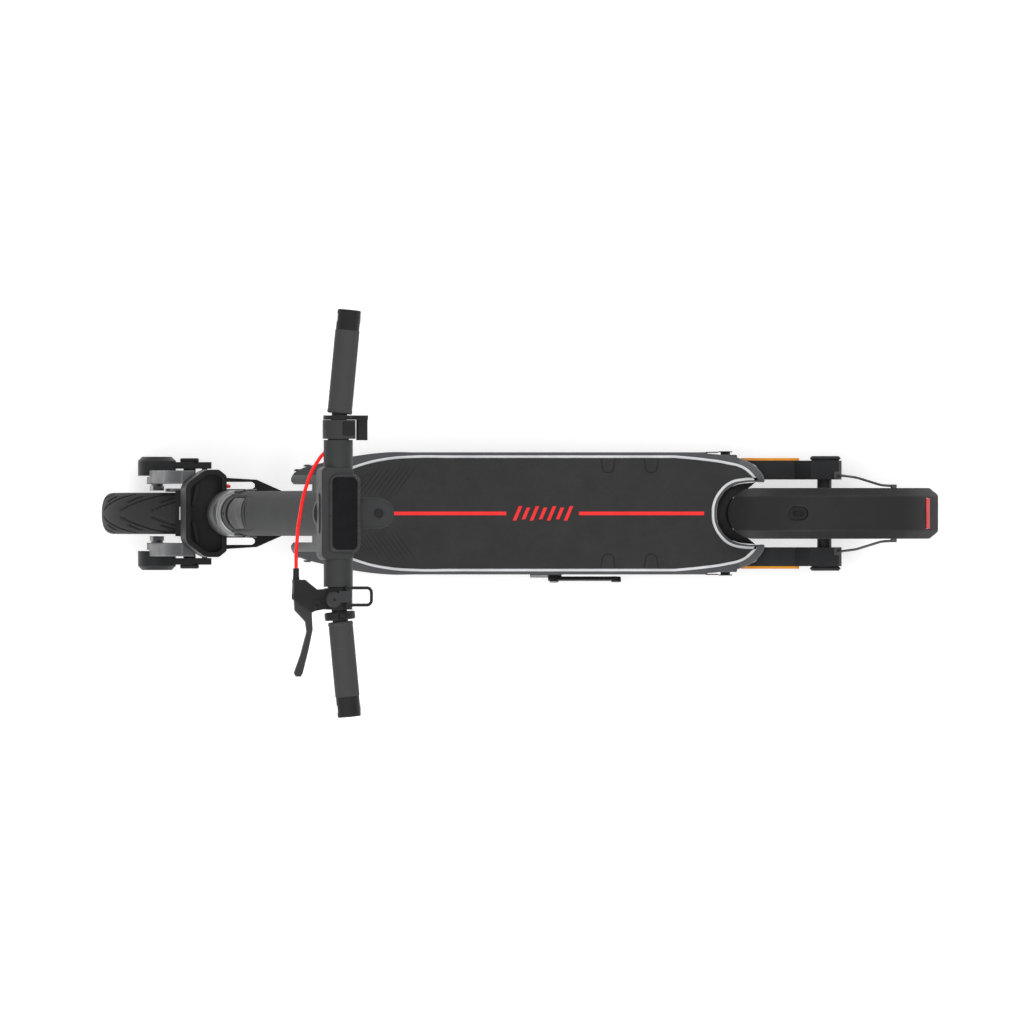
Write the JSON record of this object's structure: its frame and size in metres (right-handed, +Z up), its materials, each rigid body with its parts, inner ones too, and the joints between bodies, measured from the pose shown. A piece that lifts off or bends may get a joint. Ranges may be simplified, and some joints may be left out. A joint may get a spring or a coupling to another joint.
{
  "type": "electric kick scooter",
  "caption": "Folding electric kick scooter with a suspended fork, rear hub motor, drum brake, flat footboard, fenders, display and swept handlebar.",
  "frame": {"origin": "on the ground, under the middle of the scooter's bounding box", "axes": "+X points forward, +Y to the rider's left, +Z up"},
  "size_m": [1.2096, 0.5738, 1.2674],
  "materials": {
    "frame_paint": "satin",
    "deck_rubber": "matte",
    "black_plastic": "matte",
    "steel": "brushed",
    "battery_wrap": "gloss",
    "controller_alloy": "satin",
    "silver_alloy": "satin",
    "grey_paint": "satin",
    "tyre_rubber": "matte",
    "amber_lens": "gloss",
    "red_lens": "gloss",
    "red_cable": "gloss",
    "grip_rubber": "matte",
    "display_glass": "gloss",
    "lamp_lens": "gloss",
    "spring_steel": "polished"
  },
  "bodies": {
    "deck": {"deck_frame": "frame_paint", "deck_mat": "deck_rubber", "bottom_cover": "black_plastic", "deck_screws": "steel", "battery_pack": "battery_wrap", "controller": "controller_alloy", "neck": "frame_paint", "head_tube": "silver_alloy", "headset_bearings": "steel", "kickstand_bracket": "steel", "rear_pivot_shaft": "steel", "fender_liner": "black_plastic", "rear_springs": "spring_steel"},
    "kickstand": {"kickstand_leg": "frame_paint"},
    "rear_arm": {"rear_swingarm": "frame_paint", "rear_axle": "steel", "rear_reflectors": "amber_lens", "rear_fender": "black_plastic", "tail_light": "red_lens", "fender_stays": "steel"},
    "fender_latch": {"latch_button": "black_plastic"},
    "rear_wheel": {"rear_tyre": "tyre_rubber", "motor_shell": "frame_paint", "motor_covers": "grey_paint"},
    "fork": {"steerer_tube": "steel", "fork_crown": "black_plastic", "fork_legs": "silver_alloy", "pivot_bolts": "steel", "shock_bodies": "frame_paint", "front_springs": "spring_steel", "fold_base": "grey_paint", "lower_brake_cable": "red_cable", "front_fender": "black_plastic"},
    "front_arm": {"front_swing_arms": "frame_paint", "front_axle": "steel", "brake_backplate": "silver_alloy"},
    "brake_cam": {"brake_arm": "steel"},
    "front_wheel": {"front_tyre": "tyre_rubber", "front_rim": "frame_paint", "front_bearings": "steel"},
    "shock_rod_pair": {"shock_rods": "steel"},
    "stem": {"stem_tube": "grey_paint", "stem_head": "grey_paint", "display": "display_glass", "headlight": "lamp_lens", "handlebar": "frame_paint", "grips": "grip_rubber", "bar_ends": "black_plastic", "brake_perch": "frame_paint", "upper_brake_cable": "red_cable", "switch_collar": "black_plastic", "bell": "frame_paint", "throttle_housing": "black_plastic"},
    "latch_lever": {"fold_latch": "grey_paint"},
    "power_key": {"power_button": "black_plastic"},
    "mode_key": {"mode_button": "black_plastic"},
    "brake_hand_lever": {"brake_lever": "silver_alloy"},
    "turn_switch": {"signal_switch": "black_plastic"},
    "bell_striker": {"bell_loop": "black_plastic"},
    "throttle": {"throttle_paddle": "black_plastic"}
  },
  "joints": [
    {"name": "steering", "type": "hinge", "parent": "deck", "child": "fork", "pos_m": [0.41763, 0, 0.34042], "axis": [-0.1788, 0, 0.9839], "range_deg": [-45, 45]},
    {"name": "stem_fold", "type": "hinge", "parent": "fork", "child": "stem", "pos_m": [0.385, 0, 0.45], "axis": [0, -1, 0], "range_deg": [0, 86.5]},
    {"name": "fold_latch_lever", "type": "hinge", "parent": "stem", "child": "latch_lever", "pos_m": [0.38805, 0, 0.60947], "axis": [0, -1, 0], "range_deg": [0, 28]},
    {"name": "front_suspension", "type": "hinge", "parent": "fork", "child": "front_arm", "pos_m": [0.5247, 0, 0.135], "axis": [0, 1, 0], "range_deg": [0, 26], "stiffness_Nm_per_rad": 86, "springref_deg": -5.33},
    {"name": "front_shock", "type": "slide", "parent": "fork", "child": "shock_rod_pair", "axis": [0, 0, 1], "range_m": [0, 0.0318], "deforming": ["front_springs"]},
    {"name": "brake_cam_turn", "type": "hinge", "parent": "front_arm", "child": "brake_cam", "pos_m": [0.4576, 0, 0.139], "axis": [0, 1, 0], "range_deg": [0, 14]},
    {"name": "front_wheel_spin", "type": "hinge", "parent": "front_arm", "child": "front_wheel", "pos_m": [0.4776, 0, 0.127], "axis": [0, 1, 0], "continuous": true},
    {"name": "rear_suspension", "type": "hinge", "parent": "deck", "child": "rear_arm", "pos_m": [-0.298, 0, 0.106], "axis": [0, 1, 0], "range_deg": [0, 8], "stiffness_Nm_per_rad": 615, "springref_deg": -2.29, "deforming": ["rear_springs"]},
    {"name": "rear_wheel_spin", "type": "hinge", "parent": "rear_arm", "child": "rear_wheel", "pos_m": [-0.4412, 0, 0.127], "axis": [0, 1, 0], "continuous": true},
    {"name": "kickstand_swing", "type": "hinge", "parent": "deck", "child": "kickstand", "pos_m": [-0.05, 0.0918, 0.1], "axis": [0, -0.9848, -0.1736], "range_deg": [0, 92]},
    {"name": "fender_latch_press", "type": "slide", "parent": "rear_arm", "child": "fender_latch", "axis": [0, 0, -1], "range_m": [0, 0.002], "stiffness_N_per_m": 500},
    {"name": "power_press", "type": "slide", "parent": "stem", "child": "power_key", "axis": [0.1788, 0, -0.9839], "range_m": [0, 0.001], "stiffness_N_per_m": 500},
    {"name": "mode_press", "type": "slide", "parent": "stem", "child": "mode_key", "axis": [0.1788, 0, -0.9839], "range_m": [0, 0.0012], "stiffness_N_per_m": 500},
    {"name": "brake_lever_pull", "type": "hinge", "parent": "stem", "child": "brake_hand_lever", "pos_m": [0.28551, 0.128, 1.24363], "axis": [-0.1788, 0, 0.9839], "range_deg": [0, 18], "stiffness_Nm_per_rad": 2},
    {"name": "turn_switch_slide", "type": "slide", "parent": "stem", "child": "turn_switch", "axis": [-0.0943, 0.9954, -0.0171], "range_m": [-0.001, 0.001]},
    {"name": "bell_strike", "type": "hinge", "parent": "stem", "child": "bell_striker", "pos_m": [0.24128, 0, 1.2605], "axis": [0, -1, 0], "range_deg": [0, 10], "stiffness_Nm_per_rad": 0.5},
    {"name": "throttle_press", "type": "hinge", "parent": "stem", "child": "throttle", "pos_m": [0.25452, -0.13, 1.238], "axis": [0, -1, 0], "range_deg": [0, 30], "stiffness_Nm_per_rad": 0.6}
  ],
  "couplings": [
    {"joint": "front_shock", "follows": "front_suspension", "m_per_rad": 0.070077},
    {"joint": "brake_cam_turn", "follows": "brake_lever_pull", "ratio": 0.77778}
  ]
}
